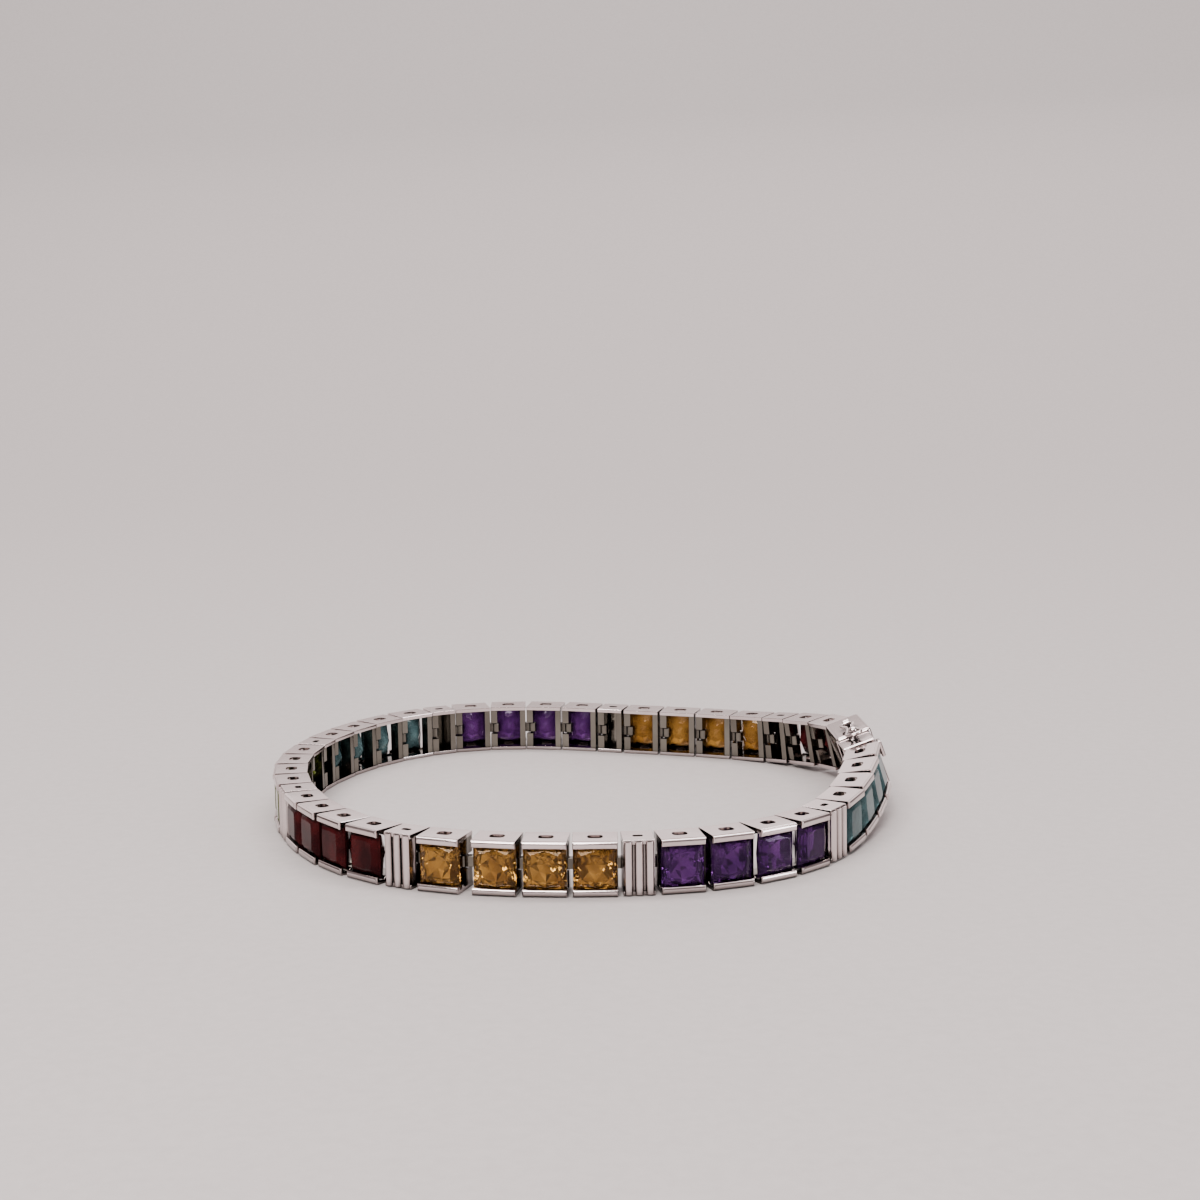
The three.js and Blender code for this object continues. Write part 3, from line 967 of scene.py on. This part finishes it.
def ball_knob():
    """A turned knob on a thin stem with a small foot."""
    up = RISE + CATCH_UP + BALL_UP
    low = (KNOB, CATCH_LINE, HALF - SINK)
    high = (KNOB, CATCH_LINE, up)
    clear_bench()
    bpy.ops.mesh.primitive_uv_sphere_add(segments=32, ring_count=20, radius=BALL, location=high)
    ball = bpy.context.object
    bpy.ops.object.transform_apply(location=True, rotation=True, scale=True)
    foot = rod(low, (KNOB, CATCH_LINE, HALF + FOOT_TALL), FOOT, sides=28)
    made = solder(ball, rod(low, high, STEM), foot)
    only(made)
    bpy.ops.object.shade_smooth_by_angle(angle=50 * DEGREE)
    return made


bench_end = joined("bench_end", [clasp_end(), ball_knob()])
piece = place_copy(bench_end, "tongue_end", CLASP_PLACE)
finish_piece(piece, BODY, "white_metal", BRIGHT_METAL, "clasp_tongue_end")
print("the end piece has", len(piece.data.polygons), "faces")

# %% [markdown]
# ## The safety catch
# A springy wire bent like a figure of eight. A curve with a round bevel is the natural way to model wire:
# its points are the bends, and the curve is turned into a mesh once it is right. The straight bar at the
# near end lies in the bored lug, and is what the catch turns on.

# %% Bend the wire
CATCH_HALF = 0.62
WAIST = 0.3
CATCH_LOOP = BALL + WIRE + 0.16
CORNER = 0.16
WAIST_BENDS = [
    # share of the reach, half width
    (0.17, CATCH_HALF - 0.02), (0.26, 0.46), (0.36, WAIST),
    (0.46, WAIST - 0.03), (0.55, WAIST), (0.67, 0.42),
]


def catch_points():
    """Half of the figure from the hinge bar to the tip of the loop, then its mirror image."""
    half = [(0, 0), (0, CATCH_HALF - CORNER)]
    half += [(CORNER + x, CATCH_HALF - CORNER + y) for x, y in arc((0, 0), CORNER, 165, 90, 4)]
    half += [(share * CATCH_REACH, wide) for share, wide in WAIST_BENDS]
    half += arc((CATCH_REACH, 0), CATCH_LOOP, 125, 0, 9)
    return half + [(x, -y) for x, y in reversed(half[1:-1])]


def bend_wire():
    """A closed smooth curve through the bends, given the wire's thickness."""
    clear_bench()
    bpy.ops.curve.primitive_bezier_circle_add(radius=1)
    wire = bpy.context.object
    points = catch_points()
    wire.data.splines.clear()
    spline = wire.data.splines.new("NURBS")
    spline.points.add(len(points) - 1)
    for point, (x, y) in zip(spline.points, points):
        point.co = (CATCH_AT + x, CATCH_LINE + y, RISE + CATCH_UP, 1)
    spline.use_cyclic_u = True
    spline.order_u = 3
    spline.resolution_u = 4
    wire.data.dimensions = "3D"
    wire.data.bevel_depth = WIRE
    wire.data.bevel_resolution = 4
    wire.data.use_fill_caps = True
    only(wire)
    bpy.ops.object.convert(target="MESH")
    wire = bpy.context.object
    wire.name = "bench_wire"
    bpy.ops.object.shade_smooth()
    return wire


bench_wire = bend_wire()
piece = place_copy(bench_wire, "figure_eight_catch", CLASP_PLACE)
finish_piece(piece, CATCH_BODY, "white_metal", BRIGHT_METAL, "safety_catch")
print("the catch has", len(piece.data.polygons), "faces")

# %% Clear the bench
for tool in (bench_stone, bench_link, bench_pulled, bench_spacer, bench_box, bench_end, bench_wire):
    bpy.data.objects.remove(tool, do_unlink=True)

# %% [markdown]
# ## Studio
# The bracelet stands on a plain pale surface that curves up behind it. Polished metal shows what
# surrounds it, so it needs large soft lamps to reflect and dim gaps between them to draw its edges.

# %% Floor and backdrop
FLOOR_WIDE = 12.0
SWEEP_FROM = 0.30
SWEEP_STEPS = 20
SWEEP_STEP = 0.06
BACK_TALL = 1.2
PAPER_DEEP = (0.37, 0.335, 0.33)
PAPER_PALE = (0.395, 0.36, 0.355)
GRAIN_SCALE = 900


def floor_material():
    material, shader, place = new_material("studio_paper")
    grain = noise(material, place, GRAIN_SCALE)
    colour = ramp(material, grain, (0.3, PAPER_DEEP), (0.7, PAPER_PALE))
    material.node_tree.links.new(colour, shader.inputs["Base Color"])
    shader.inputs["Roughness"].default_value = 0.6
    return material


def studio_floor():
    """A sheet that lies flat and sweeps up at the back."""
    clear_bench()
    bpy.ops.mesh.primitive_plane_add(size=1)
    sheet = bpy.context.object
    sheet.name = "floor"
    for vertex in sheet.data.vertices:
        vertex.co = (vertex.co.x * FLOOR_WIDE, -FLOOR_WIDE / 2 if vertex.co.y < 0 else SWEEP_FROM, 0)
    pick_edges(sheet, lambda a, b: min(a.y, b.y) > 0)
    for i in range(SWEEP_STEPS):
        angle = (i + 0.5) / SWEEP_STEPS * math.pi / 2
        step = (0, SWEEP_STEP * math.cos(angle), SWEEP_STEP * math.sin(angle))
        bpy.ops.mesh.extrude_region_move(TRANSFORM_OT_translate={"value": step})
    bpy.ops.mesh.extrude_region_move(TRANSFORM_OT_translate={"value": (0, 0, BACK_TALL)})
    bpy.ops.object.mode_set(mode="OBJECT")
    bpy.ops.object.shade_smooth()
    sheet.data.materials.append(floor_material())
    return sheet


sheet = studio_floor()
print("the floor is", [round(side, 2) for side in sheet.dimensions], "m")


# %% Lamps
def lamp(name, place, target, size, power, colour):
    """A soft rectangular lamp aimed at a target."""
    clear_bench()
    bpy.ops.object.light_add(type="AREA", location=place)
    made = bpy.context.object
    made.name = name
    made.data.shape = "RECTANGLE"
    made.data.size, made.data.size_y = size
    made.data.energy = power
    made.data.color = colour
    made.rotation_euler = (Vector(target) - Vector(place)).to_track_quat("-Z", "Y").to_euler()
    return made


MIDDLE = (0, 0, 0.002)
lamp("key", (-0.14, -0.30, 0.34), MIDDLE, (0.28, 0.18), 3.4, (1.0, 0.96, 0.93))
lamp("top", (0.08, 0.02, 0.60), MIDDLE, (0.90, 0.70), 3.2, (1.0, 0.95, 0.94))
lamp("right", (0.40, -0.16, 0.16), MIDDLE, (0.10, 0.24), 0.9, (0.98, 0.97, 1.0))
lamp("behind", (-0.05, 0.60, 0.34), MIDDLE, (1.1, 0.36), 1.1, (1.0, 0.90, 0.90))
lamp("backdrop", (0, 0.3, 1.2), (0, 0.9, 0.3), (1.6, 0.4), 26.0, (1.0, 0.96, 0.95))

world = bpy.data.worlds.new("studio")
bpy.context.scene.world = world
world.use_nodes = True
world.node_tree.nodes["Background"].inputs["Color"].default_value = (0.74, 0.64, 0.64, 1)
world.node_tree.nodes["Background"].inputs["Strength"].default_value = 0.38

# %% [markdown]
# ## Camera
# The lens, height and distance come from matching the links' corners to where they stand in the picture.

# %% Camera
LENS = 60.27
SENSOR = 36.0
CAMERA_AT = (2.0 * MM, -196.6 * MM, 51.24 * MM)
LOOKS_DOWN = 8.685 * DEGREE
TILT = -0.765 * DEGREE

bpy.ops.object.camera_add(location=CAMERA_AT)
camera = bpy.context.object
turn = Matrix.Rotation(math.pi / 2 - LOOKS_DOWN, 4, "X") @ Matrix.Rotation(TILT, 4, "Z")
camera.rotation_euler = turn.to_euler()
camera.data.lens = LENS
camera.data.sensor_width = SENSOR
camera.data.clip_start = 0.005
bpy.context.scene.camera = camera
print("the camera stands", round(camera.location.length / MM), "mm from the middle of the loop")
